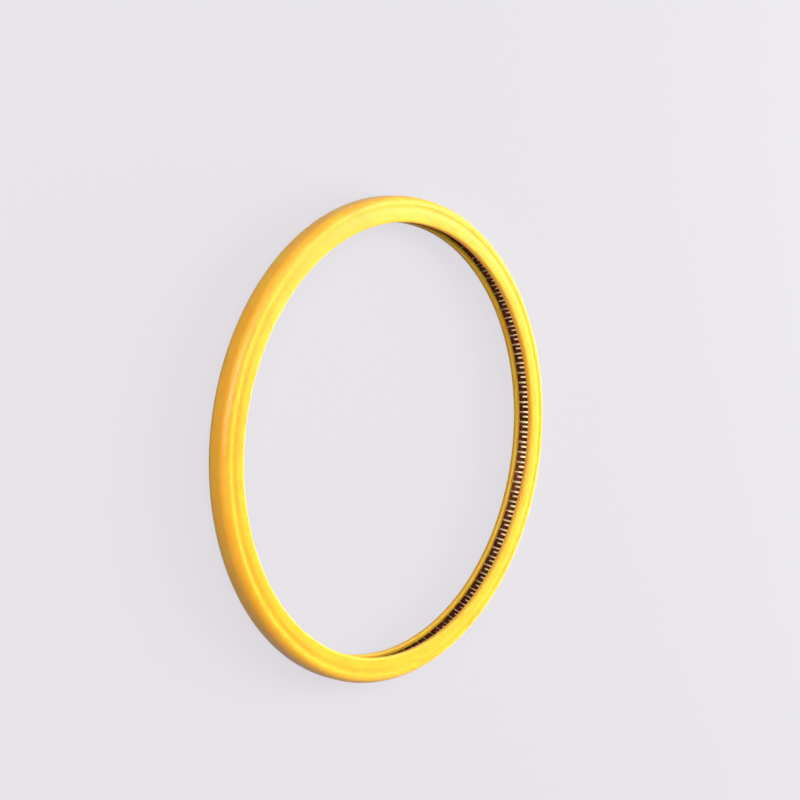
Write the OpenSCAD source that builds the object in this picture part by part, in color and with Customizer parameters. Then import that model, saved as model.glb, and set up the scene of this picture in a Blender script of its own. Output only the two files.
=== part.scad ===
// A spring-energised face seal for a round window: a turned polymer jacket with a
// C-shaped section that opens towards the bore, and a finger spring seated in its
// groove. The spring is one slotted metal strip, and presses the two lips apart.

/* [Ring] */
// Outside diameter of the jacket
seal_od = 34.8; // [24:0.1:60]
// Radial width of the section, from the bore to the outside wall
section_w = 1.85; // [1.5:0.05:2.5]
// Thickness over the two sealing beads
section_t = 1.8; // [1.7:0.05:2.6]

/* [Jacket] */
// Radius of the two heel corners
heel_round = 0.55; // [0.2:0.05:0.65]
// How far each heel face lies below its sealing bead
heel_relief = 0.03; // [0:0.01:0.05]
// Radius of each lip's outer corner at the bore
nose_round = 0.18; // [0.05:0.01:0.22]
// Radius of each lip's inner corner at the mouth
mouth_round = 0.15; // [0.05:0.01:0.18]
// Radial width of the flat land on each sealing bead
bead_land = 0.55; // [0.15:0.05:0.6]
// Radial width of the waist turned between bead and heel
waist_w = 0.65; // [0.4:0.05:0.9]
// Depth of the waist below the sealing bead
waist_depth = 0.07; // [0.06:0.01:0.1]
// Radial length of the hook on each lip, which keeps the spring in
hook_w = 0.33; // [0.2:0.01:0.4]
// How far each hook stands in front of the spring
hook_h = 0.12; // [0.05:0.01:0.2]

/* [Spring] */
// Height of the spring over the tips of its fingers
spring_h = 1.2; // [1:0.05:1.3]
// Thickness of the strip
strip_t = 0.1; // [0.06:0.01:0.12]
// Lean of the fingers from the ring's axis, in degrees
finger_lean = 25; // [15:1:30]
// Radius on the inside of the strip's bend
bend_r = 0.2; // [0.1:0.05:0.3]
// Number of slots in each edge of the strip
slot_count = 128; // [60:1:140]
// Width of a slot
slot_w = 0.15; // [0.08:0.01:0.2]
// How far each slot runs on past the middle of the strip
slot_over = 0.36; // [0.1:0.01:0.4]
// Place of a front slot between two rear slots, as a share of their distance
slot_share = 0.55; // [0.4:0.05:0.6]
// Angle of the first rear slot about the axis, in degrees
first_slot = 1.2; // [0:0.1:6]
// Play between the tips of the fingers and the backs of the hooks
tip_play = 0.08; // [0.02:0.01:0.12]
// Clearance between the spring and the groove
seat_gap = 0.01; // [0.005:0.005:0.03]

/* [Hidden] */

outer_r = seal_od / 2;
bore_r = outer_r - section_w;
bead_z = section_t / 2;
heel_z = bead_z - heel_relief;

// The waist is an arc, given by its width and depth
waist_centre_r = bore_r + nose_round + bead_land + waist_w / 2;
waist_r = (pow(waist_w / 2, 2) + pow(waist_depth, 2)) / (2 * waist_depth);

// The strip's section is a wide V: two straight legs on an arc about bend_centre_r
tip_r = bore_r + hook_w + tip_play;
tip_z = spring_h / 2 - strip_t * sin(finger_lean);
bend_centre_r = tip_r + tip_z * tan(finger_lean) - bend_r / cos(finger_lean);
leg = (tip_z - bend_r * sin(finger_lean)) / cos(finger_lean);

// The groove holds the tips between its walls and the bend at its floor, and its
// corners are rounded from behind the tips to the floor, to a whole micrometre
groove_half = spring_h / 2 + seat_gap;
groove_floor_r = whole_micron(bend_centre_r + bend_r + strip_t + seat_gap);
groove_round = whole_micron(groove_floor_r - tip_r - strip_t * cos(finger_lean));
mouth_half = spring_h / 2 - hook_h;

slot_pitch = 360 / slot_count;
ring_fn = 180;
arc_fn = 48;

function whole_micron(length) = round(length * 1000) / 1000;

// A bar of the section from radius r0 to r1, half_h high each way, whose two
// corners on one side are rounded: side = -1 for the bore side, 1 for the outside
module rounded_bar(r0, r1, half_h, corner, side) {
    centre_r = side > 0 ? r1 - corner : r0 + corner;
    straight_r0 = side > 0 ? r0 : r0 + corner;
    straight_r1 = side > 0 ? r1 - corner : r1;
    translate([straight_r0, -half_h]) square([straight_r1 - straight_r0, 2 * half_h]);
    translate([r0, corner - half_h]) square([r1 - r0, 2 * (half_h - corner)]);
    for (s = [-1, 1])
        translate([centre_r, s * (half_h - corner)]) circle(r = corner, $fn = arc_fn);
}

// The mouth between the two hooks, with the lips' inner corners rounded
module mouth() {
    translate([bore_r - section_w, -mouth_half]) square([section_w + hook_w, 2 * mouth_half]);
    for (s = [-1, 1])
        difference() {
            translate([bore_r, s * (mouth_half + mouth_round / 2)])
                square(mouth_round * [2, 1], center = true);
            translate([bore_r + mouth_round, s * (mouth_half + mouth_round)])
                circle(r = mouth_round, $fn = arc_fn);
        }
}

// Half section of the jacket: radius along X, height from the middle plane along Y
module jacket_section() {
    difference() {
        union() {
            rounded_bar(bore_r, waist_centre_r, bead_z, nose_round, -1);
            rounded_bar(waist_centre_r, outer_r, heel_z, heel_round, 1);
        }
        for (s = [-1, 1])
            translate([waist_centre_r, s * (bead_z + waist_r - waist_depth)])
                circle(r = waist_r, $fn = 2 * arc_fn);
        rounded_bar(bore_r + hook_w, groove_floor_r, groove_half, groove_round, 1);
        mouth();
    }
}

module jacket() {
    color("gold")
        translate([0, 0, bead_z])
            rotate_extrude($fn = ring_fn) jacket_section();
}

// Point of the strip's section at angle a of the bend, r from the bend's centre, and
// the corner at the tip of a leg on the same radius: side = 1 for the front, -1 for the rear
function bend_point(r, a) = [bend_centre_r + r * cos(a), r * sin(a)];
function tip_point(r, side) =
    bend_point(r, side * finger_lean) + leg * [-sin(finger_lean), side * cos(finger_lean)];

// Half section of the strip, before it is slotted
module strip_section() {
    back_r = bend_r + strip_t;
    polygon(concat(
        [tip_point(back_r, -1)],
        [for (k = [-2 : 2]) bend_point(back_r, k / 2 * finger_lean)],
        [tip_point(back_r, 1), tip_point(bend_r, 1)],
        [for (k = [-2 : 2]) bend_point(bend_r, -k / 2 * finger_lean)],
        [tip_point(bend_r, -1)]
    ));
}

// The cut for a slot that is open at the strip's rear edge, with its closed end round
module slot() {
    rotate([90, 0, 90])
        translate([0, 0, tip_r - slot_w])
            linear_extrude(groove_floor_r - tip_r + 2 * slot_w) {
                translate([-slot_w / 2, -spring_h])
                    square([slot_w, spring_h + slot_over - slot_w / 2]);
                translate([0, slot_over - slot_w / 2]) circle(d = slot_w, $fn = 24);
            }
}

module spring() {
    color("silver")
        translate([0, 0, bead_z])
            difference() {
                rotate_extrude($fn = ring_fn) strip_section();
                for (i = [0 : slot_count - 1]) {
                    rotate([0, 0, first_slot + i * slot_pitch]) slot();
                    rotate([0, 0, first_slot + (i + slot_share) * slot_pitch]) mirror([0, 0, 1]) slot();
                }
            }
}

jacket();
spring();
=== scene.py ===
# A laser window seal ring lies on its rear face, seen from above and across its bore.
# The jacket comes first, as it is turned, then the spring that is snapped into it.
import math

import bmesh
import bpy
from mathutils import Matrix, Vector


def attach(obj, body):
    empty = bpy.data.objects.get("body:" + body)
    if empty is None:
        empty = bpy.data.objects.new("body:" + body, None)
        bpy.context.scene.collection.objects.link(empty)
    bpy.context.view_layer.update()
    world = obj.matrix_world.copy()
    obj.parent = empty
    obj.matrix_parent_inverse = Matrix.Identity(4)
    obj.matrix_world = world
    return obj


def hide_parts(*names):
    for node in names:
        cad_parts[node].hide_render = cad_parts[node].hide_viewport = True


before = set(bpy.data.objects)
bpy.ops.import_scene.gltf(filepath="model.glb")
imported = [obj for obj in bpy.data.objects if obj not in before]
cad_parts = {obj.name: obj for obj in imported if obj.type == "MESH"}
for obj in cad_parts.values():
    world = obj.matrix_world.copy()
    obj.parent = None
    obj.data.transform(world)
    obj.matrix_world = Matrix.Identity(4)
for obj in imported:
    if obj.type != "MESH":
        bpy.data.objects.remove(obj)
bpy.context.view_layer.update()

# Jacket: one polymer ring, turned from a tube of yellow filled PTFE. Two lips with hooked
# edges open to the bore, a sealing bead stands on each face near it, a shallow waist
# follows, and the closed heel outside has two round corners. It lies on the rear bead.
MM = 0.001  # in metres; the sizes of the pieces are in millimetres
outer_r = 17.4
section_w = 1.85
section_t = 1.8
bore_r = outer_r - section_w
middle_z = section_t / 2
nose_round = 0.18
mouth_half = 0.48
mouth_round = 0.15
hook_w = 0.33
hook_end_r = bore_r + hook_w
hook_round = 0.03
groove_half = 0.61
groove_depth = 0.759
groove_floor_r = bore_r + groove_depth
groove_round = 0.25
bead_land = 0.55
bead_end_r = bore_r + nose_round + bead_land
bead_end_round = 0.09
inner_slope = 0.325  # from the bead down to the waist's middle
outer_slope = 0.2  # and up again to the heel
waist_mid_r = bead_end_r + inner_slope
waist_depth = 0.07
waist_round = 0.15
heel_start_r = waist_mid_r + outer_slope
heel_start_round = 0.043
heel_relief = 0.03  # the heel's faces lie this far below the beads
heel_round = 0.55
ring_steps = 360
smooth_angle = math.radians(35)


def upright_sheet(name, r0, r1, half_height):
    """A flat sheet in the XZ plane from radius r0 to r1, about the ring's middle plane, in edit mode."""
    bpy.ops.object.select_all(action="DESELECT")
    bpy.ops.mesh.primitive_plane_add(size=1, location=((r0 + r1) / 2 * MM, 0, middle_z * MM),
                                     rotation=(math.pi / 2, 0, 0))
    sheet = bpy.context.object
    sheet.name = sheet.data.name = name
    sheet.scale = ((r1 - r0) * MM, 2 * half_height * MM, 1)
    bpy.ops.object.transform_apply(location=True, rotation=True, scale=True)
    bpy.ops.object.mode_set(mode="EDIT")
    return sheet


def select_where(piece, kind, test):
    """Selects the vertices or faces whose middle passes test(radius, height, azimuth), in
    millimetres from the axis and from the ring's middle plane, and in degrees."""
    bpy.ops.mesh.select_mode(type=kind)
    bpy.ops.mesh.select_all(action="DESELECT")
    shape = bmesh.from_edit_mesh(piece.data)
    for part in {"VERT": shape.verts, "FACE": shape.faces}[kind]:
        corners = [part] if kind == "VERT" else part.verts
        middle = sum((corner.co for corner in corners), Vector()) / len(corners) / MM
        part.select_set(test(math.hypot(middle.x, middle.y), middle.z - middle_z,
                             math.degrees(math.atan2(middle.y, middle.x))))
    bmesh.update_edit_mesh(piece.data)


def near(a, b):
    """True for two sizes, in millimetres or in degrees, that only rounding sets apart."""
    return abs(a - b) < 0.002


def cut_across(r=None, height=None):
    """Cuts the whole sheet at a radius, or at a height from the middle plane."""
    bpy.ops.mesh.select_all(action="SELECT")
    if r is None:
        bpy.ops.mesh.bisect(plane_co=(0, 0, (middle_z + height) * MM), plane_no=(0, 0, 1))
    else:
        bpy.ops.mesh.bisect(plane_co=(r * MM, 0, 0), plane_no=(1, 0, 0))


def one_face():
    """Joins the sheet's faces to a single one."""
    bpy.ops.mesh.select_mode(type="FACE")
    bpy.ops.mesh.select_all(action="SELECT")
    bpy.ops.mesh.dissolve_faces()


def round_corners(piece, r, height, radius, segments):
    """Rounds the section's corners at a radius and at a height on both sides of the middle plane."""
    select_where(piece, "VERT", lambda at_r, at_h, _: near(at_r, r) and near(abs(at_h), height))
    bpy.ops.mesh.bevel(offset_type="OFFSET", offset=radius * MM, segments=segments, affect="VERTICES")


def sweep(angle, steps, copies=False):
    """Turns all that is selected about the ring's axis by an angle in degrees, and leaves
    faces or copies behind it. Spin would go clockwise, so the angle's sign is turned."""
    bpy.ops.mesh.spin(steps=steps, angle=-math.radians(angle), center=(0, 0, 0), axis=(0, 0, 1),
                      dupli=copies)


def close_mesh():
    """Merges doubled vertices, turns the faces outwards and ends edit mode."""
    bpy.ops.mesh.select_all(action="SELECT")
    bpy.ops.mesh.remove_doubles(threshold=0.001 * MM)
    bpy.ops.mesh.normals_make_consistent(inside=False)
    bpy.ops.object.mode_set(mode="OBJECT")


jacket = upright_sheet("jacket_ring", bore_r, outer_r, middle_z)
for radius in (hook_end_r, groove_floor_r):
    cut_across(r=radius)
for height in (-groove_half, -mouth_half, mouth_half, groove_half):
    cut_across(height=height)
select_where(jacket, "FACE", lambda r, h, _: r < hook_end_r and abs(h) < mouth_half
             or hook_end_r < r < groove_floor_r and abs(h) < groove_half)
bpy.ops.mesh.delete(type="FACE")
one_face()
# the cuts left vertices in straight stretches of the outline, in the way of its bevels
select_where(jacket, "VERT", lambda r, h, _: near(r, outer_r) and not near(abs(h), middle_z)
             or near(r, bore_r) and near(abs(h), groove_half)
             or near(r, groove_floor_r) and near(abs(h), mouth_half)
             or near(abs(h), middle_z) and not near(r, bore_r) and not near(r, outer_r))
bpy.ops.mesh.dissolve_verts()
for radius in (bead_end_r, waist_mid_r, heel_start_r):
    cut_across(r=radius)
one_face()
for side in (-1, 1):
    for radius, drop in ((waist_mid_r, waist_depth), (heel_start_r, heel_relief), (outer_r, heel_relief)):
        select_where(jacket, "VERT", lambda r, h, _: near(r, radius) and near(h, side * middle_z))
        bpy.ops.transform.translate(value=(0, 0, -side * drop * MM))
round_corners(jacket, outer_r, middle_z - heel_relief, heel_round, 12)
round_corners(jacket, bore_r, middle_z, nose_round, 6)
round_corners(jacket, bore_r, mouth_half, mouth_round, 6)
round_corners(jacket, hook_end_r, mouth_half, hook_round, 2)
round_corners(jacket, groove_floor_r, groove_half, groove_round, 6)
round_corners(jacket, bead_end_r, middle_z, bead_end_round, 4)
round_corners(jacket, waist_mid_r, middle_z - waist_depth, waist_round, 6)
round_corners(jacket, heel_start_r, middle_z - heel_relief, heel_start_round, 3)
bpy.ops.mesh.select_all(action="SELECT")
bpy.ops.mesh.delete(type="ONLY_FACE")
bpy.ops.mesh.select_mode(type="EDGE")
bpy.ops.mesh.select_all(action="SELECT")
sweep(360, ring_steps)
close_mesh()
bpy.ops.object.shade_smooth_by_angle(angle=smooth_angle)

# Filled PTFE as it comes off the lathe: waxy golden yellow that light goes into for half
# a millimetre, with a soft sheen, fine rings left by the tool and faint clouds of pigment.
tool_feed = 0.06
cloud_size = 2.5
light_depth = 0.6


def linear(hex_colour):
    """An sRGB hex colour as linear RGBA."""
    srgb = [int(hex_colour[i:i + 2], 16) / 255 for i in (1, 3, 5)]
    return [c / 12.92 if c <= 0.04045 else ((c + 0.055) / 1.055) ** 2.4 for c in srgb] + [1]


def add(tree, kind, settings=(), links=()):
    """One shader node with its settings, and links given as (input, other node, its output)."""
    made = tree.nodes.new(kind)
    for name, value in dict(settings).items():
        if name in made.inputs:
            made.inputs[name].default_value = value
        else:
            setattr(made, name, value)
    for socket, other, output in links:
        tree.links.new(other.outputs[output], made.inputs[socket])
    return made


def material_on(piece, name):
    """The empty node tree of a new material, which is put on a piece."""
    made = bpy.data.materials.new(name)
    made.use_nodes = True
    made.node_tree.nodes.clear()
    piece.data.materials.append(made)
    return made.node_tree


def around_the_ring(tree, where):
    """A place by radius and height alone, on which a pattern runs round the ring in lines."""
    parts = add(tree, "ShaderNodeSeparateXYZ", links=[("Vector", where, "Object")])
    x_squared = add(tree, "ShaderNodeMath", {"operation": "MULTIPLY"}, [(0, parts, "X"), (1, parts, "X")])
    radius_squared = add(tree, "ShaderNodeMath", {"operation": "MULTIPLY_ADD"},
                         [(0, parts, "Y"), (1, parts, "Y"), (2, x_squared, 0)])
    radius = add(tree, "ShaderNodeMath", {"operation": "SQRT"}, [(0, radius_squared, 0)])
    return add(tree, "ShaderNodeCombineXYZ", links=[("X", radius, 0), ("Z", parts, "Z")])


tree = material_on(jacket, "turned_filled_ptfe")
where = add(tree, "ShaderNodeTexCoord")
clouds = add(tree, "ShaderNodeTexNoise", {"Scale": 1 / (cloud_size * MM), "Detail": 3.0},
             [("Vector", where, "Object")])
tint = add(tree, "ShaderNodeValToRGB", links=[("Fac", clouds, "Fac")])
for stop, share, colour in zip(tint.color_ramp.elements, (0.3, 0.7), ("#FFB21E", "#FFBC2A")):
    stop.position = share
    stop.color = linear(colour)
tool_rings = add(tree, "ShaderNodeTexNoise",
                 {"Scale": 1 / (tool_feed * MM), "Detail": 2.0, "Roughness": 0.6},
                 [("Vector", around_the_ring(tree, where), 0)])
gloss = add(tree, "ShaderNodeMapRange", {"To Min": 0.36, "To Max": 0.44}, [("Value", tool_rings, "Fac")])
relief = add(tree, "ShaderNodeBump", {"Strength": 0.12, "Distance": 0.004 * MM},
             [("Height", tool_rings, "Fac")])
shader = add(tree, "ShaderNodeBsdfPrincipled", {
    "IOR": 1.38, "Specular IOR Level": 0.8, "Subsurface Weight": 1.0,
    "Subsurface Radius": (1.0, 0.4, 0.1), "Subsurface Scale": light_depth * MM},
    [("Base Color", tint, "Color"), ("Roughness", gloss, 0), ("Normal", relief, 0)])
add(tree, "ShaderNodeOutputMaterial", links=[("Surface", shader, 0)])

# The same polymer at the groove's floor, given a paler, warmer colour than the rest of the
# jacket: painted glow that stands in for light from beyond the ring coming through the heel,
# so that it looks pale and warm behind the slots of the spring. The low lamp beyond the ring
# also shines through it.
tree = material_on(jacket, "painted_glow_groove_ptfe")
shader = add(tree, "ShaderNodeBsdfPrincipled", {
    # the pale base colour is painted glow, not the polymer's own colour
    "Base Color": linear("#FFD4B0"), "Roughness": 0.5, "Specular IOR Level": 0.2,
    "Subsurface Weight": 1.0, "Subsurface Radius": (1.0, 0.9, 0.8), "Subsurface Scale": 5 * MM})
add(tree, "ShaderNodeOutputMaterial", links=[("Surface", shader, 0)])
bpy.ops.object.mode_set(mode="EDIT")
select_where(jacket, "FACE", lambda r, h, _: hook_end_r < r < groove_floor_r
             and abs(h) < groove_half and not near(abs(h), groove_half))
jacket.active_material_index = 1
bpy.ops.object.material_slot_assign()
bpy.ops.object.mode_set(mode="OBJECT")

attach(jacket, "root")
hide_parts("jacket")

# Spring: one strip of stainless steel, 0.1 mm thick, slotted from both edges by turns,
# folded along its middle to a wide V and rolled into a ring. Its fingers lie behind the
# jacket's hooks, where they press the two lips apart.
strip_t = 0.1
edge_round = 0.012
spring_half = 0.6
lean = math.radians(25)
bend_r = 0.2
tip_play = 0.08
tip_r = hook_end_r + tip_play
tip_half = spring_half - strip_t * math.sin(lean)
bend_out = tip_half * math.tan(lean)
sheet_w = 0.6
slot_count = 128
slot_w = 0.15
slot_over = 0.36
slot_share = 0.55
first_slot = 1.2
slot_mid_r = 16.15  # a slot's width is measured here
slot_steps = 4
straight_end = slot_over - slot_w / 2
slot_angle = math.degrees(slot_w / slot_mid_r)
pitch = 360 / slot_count
front_slot = slot_share * pitch

spring = upright_sheet("spring_strip", tip_r, tip_r + sheet_w, tip_half)
cut_across(height=0)
select_where(spring, "VERT", lambda r, h, _: near(h, 0))
bpy.ops.transform.translate(value=(bend_out * MM, 0, 0))
one_face()
round_corners(spring, tip_r + bend_out, 0, bend_r * math.tan(lean), 4)
for height in (-straight_end, straight_end):
    cut_across(height=height)
# the strip's section is the sheet's inner outline, so the outer one goes
select_where(spring, "VERT",
             lambda r, h, _: r > tip_r + (tip_half - abs(h)) * math.tan(lean) + sheet_w / 2)
bpy.ops.mesh.delete(type="VERT")
bpy.ops.mesh.select_all(action="SELECT")
for slot_to_slot in (front_slot, pitch - front_slot):
    sweep(slot_angle, slot_steps)
    sweep(slot_to_slot - slot_angle, 1)
select_where(spring, "FACE", lambda r, h, a: 0 < a < slot_angle and h < straight_end
             or 0 < a - front_slot < slot_angle and h > -straight_end)
bpy.ops.mesh.delete(type="FACE")
# each slot's closed end is a half circle, raised out of the straight end along the lean
for start, side in ((0, 1), (front_slot, -1)):
    for step in range(1, slot_steps):
        angle = start + slot_angle * step / slot_steps
        rise = slot_w / 2 * math.sqrt(1 - (2 * step / slot_steps - 1) ** 2) * MM
        inward = rise * math.tan(lean)
        select_where(spring, "VERT", lambda r, h, a: near(a, angle) and near(h, side * straight_end))
        bpy.ops.transform.translate(value=(-inward * math.cos(math.radians(angle)),
                                           -inward * math.sin(math.radians(angle)), side * rise))
bpy.ops.mesh.select_all(action="SELECT")
sweep(360 - pitch, slot_count - 1, copies=True)
close_mesh()
spring.rotation_euler.z = math.radians(first_slot - slot_angle / 2)
bpy.ops.object.transform_apply(location=False, rotation=True, scale=False)
wall = spring.modifiers.new("wall", "SOLIDIFY")
wall.thickness = strip_t * MM
wall.offset = 1
wall.use_even_offset = True
edges = spring.modifiers.new("edges", "BEVEL")
edges.width = edge_round * MM
edges.segments = 1
edges.limit_method = "ANGLE"
edges.angle_limit = math.radians(40)
for name in ("wall", "edges"):
    bpy.ops.object.modifier_apply(modifier=name)
bpy.ops.object.shade_smooth_by_angle(angle=smooth_angle)

# Rolled stainless strip, tempered after slotting: a red-brown oxide over smooth metal,
# uneven along the ring, with rolling lines that blur what it mirrors. The oxide's colours are
# far darker than metal is: painted shade for the deep groove the strip sits in. Real rolling
# lines are too fine to show, so these are drawn coarser.
line_size = 0.03
oxide_size = 0.9
tree = material_on(spring, "oxide_and_painted_shade_strip")
where = add(tree, "ShaderNodeTexCoord")
oxide = add(tree, "ShaderNodeTexNoise", {"Scale": 1 / (oxide_size * MM), "Detail": 3.0},
            [("Vector", where, "Object")])
tint = add(tree, "ShaderNodeValToRGB", links=[("Fac", oxide, "Fac")])
# the two dark colours are partly the oxide's tint and partly painted shade
for stop, share, colour in zip(tint.color_ramp.elements, (0.35, 0.7), ("#4A2012", "#5C2E1C")):
    stop.position = share
    stop.color = linear(colour)
rolling_lines = add(tree, "ShaderNodeTexNoise", {"Scale": 1 / (line_size * MM), "Detail": 2.0},
                    [("Vector", around_the_ring(tree, where), 0)])
gloss = add(tree, "ShaderNodeMapRange", {"To Min": 0.22, "To Max": 0.4}, [("Value", rolling_lines, "Fac")])
relief = add(tree, "ShaderNodeBump", {"Strength": 0.2, "Distance": 0.002 * MM},
             [("Height", rolling_lines, "Fac")])
shader = add(tree, "ShaderNodeBsdfPrincipled", {"Metallic": 1.0},
             [("Base Color", tint, "Color"), ("Roughness", gloss, 0), ("Normal", relief, 0)])
add(tree, "ShaderNodeOutputMaterial", links=[("Surface", shader, 0)])

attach(spring, "root")
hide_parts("spring")

# Floor: a sheet of pale studio paper, cool white and matt. The picture and the metal see
# it nearly white, it keeps a faint shadow, and it throws only a little light back up.
floor_size = 2.0


def seen_rays(tree):
    """1 for the rays of the camera, of mirrors and of glass, which see the pale background."""
    ray = add(tree, "ShaderNodeLightPath")
    mirrored = add(tree, "ShaderNodeMath", {"operation": "MAXIMUM"},
                   [(0, ray, "Is Camera Ray"), (1, ray, "Is Glossy Ray")])
    return add(tree, "ShaderNodeMath", {"operation": "MAXIMUM"},
               [(0, mirrored, 0), (1, ray, "Is Transmission Ray")])


bpy.ops.object.select_all(action="DESELECT")
bpy.ops.mesh.primitive_plane_add(size=floor_size, location=(0, 0, 0))
floor = bpy.context.object
floor.name = floor.data.name = "studio_floor"
tree = material_on(floor, "matt_paper")
seen = seen_rays(tree)
paper_tone = add(tree, "ShaderNodeMapRange",
                 {"To Min": linear("#606060")[0], "To Max": linear("#D0D0D0")[0]}, [("Value", seen, 0)])
lit_paper = add(tree, "ShaderNodeBsdfPrincipled", {"Roughness": 0.9, "Specular IOR Level": 0.1},
                [("Base Color", paper_tone, 0)])
white = add(tree, "ShaderNodeEmission", {"Color": linear("#E2DFE5")})
white_share = add(tree, "ShaderNodeMapRange", {"To Max": 0.88}, [("Value", seen, 0)])
paper = add(tree, "ShaderNodeMixShader", links=[(0, white_share, 0), (1, lit_paper, 0), (2, white, 0)])
add(tree, "ShaderNodeOutputMaterial", links=[("Surface", paper, 0)])

# Light: a room that lights from overhead, dim near the horizon but pale in the picture, a
# large soft box above, a small one close by at the left and another at the right, and a low
# one beyond the right side, which shines through the heel so that the spring's slots glow,
# helped by the painted glow of the groove's floor.
room = bpy.data.worlds.new("studio_room")
bpy.context.scene.world = room
room.use_nodes = True
tree = room.node_tree
where = add(tree, "ShaderNodeTexCoord")
parts = add(tree, "ShaderNodeSeparateXYZ", links=[("Vector", where, "Generated")])
overhead = add(tree, "ShaderNodeMapRange",
               {"From Min": 0.2, "From Max": 0.7, "To Min": 0.03, "To Max": 0.35}, [("Value", parts, "Z")])
strength = add(tree, "ShaderNodeMix", {"B": 0.87}, [("Factor", seen_rays(tree), 0), ("A", overhead, 0)])
tree.nodes["Background"].inputs["Color"].default_value = linear("#F4F2F8")
tree.links.new(strength.outputs[0], tree.nodes["Background"].inputs["Strength"])


def soft_box(name, place, size, power):
    """A square area lamp of a size in metres and a power in watts, turned towards the ring."""
    bpy.ops.object.light_add(type="AREA", location=place)
    lamp = bpy.context.object
    lamp.name = name
    lamp.data.shape = "SQUARE"
    lamp.data.size = size
    lamp.data.energy = power
    lamp.rotation_euler = (-Vector(place)).to_track_quat("-Z", "Y").to_euler()
    return lamp


soft_box("top_soft_box", place=(-0.10, 0.22, 0.34), size=0.4, power=0.74)
soft_box("left_soft_box", place=(-0.14, 0.04, 0.11), size=0.08, power=0.2)
soft_box("right_soft_box", place=(0.10, 0.06, 0.09), size=0.1, power=0.115)
far_box = soft_box("far_soft_box", place=(0.35, 0.0, 0.08), size=0.15, power=4.0)
far_box.visible_glossy = False  # it lights the heel from behind without a streak on it

# Camera: in front of the ring and to its left, with the ring's X axis level in the picture.
# Its place, aim and focal length were fitted to the photo's two outlines.
camera_place = Vector((-96.765, 9.662, 83.691)) * MM
aim = Vector((0.616, 2.887, 0.9)) * MM
back = (camera_place - aim).normalized()
up = back.cross(Vector((1, 0, 0))).normalized()
right = up.cross(back)
lens = bpy.data.cameras.new("photo_camera")
lens.sensor_width = 36
lens.lens = 80.208
lens.clip_start = 0.005
camera = bpy.data.objects.new("photo_camera", lens)
camera.matrix_world = Matrix.Translation(camera_place) @ Matrix((right, up, back)).transposed().to_4x4()
bpy.context.scene.collection.objects.link(camera)
bpy.context.scene.camera = camera
bpy.context.scene.view_settings.view_transform = "Standard"
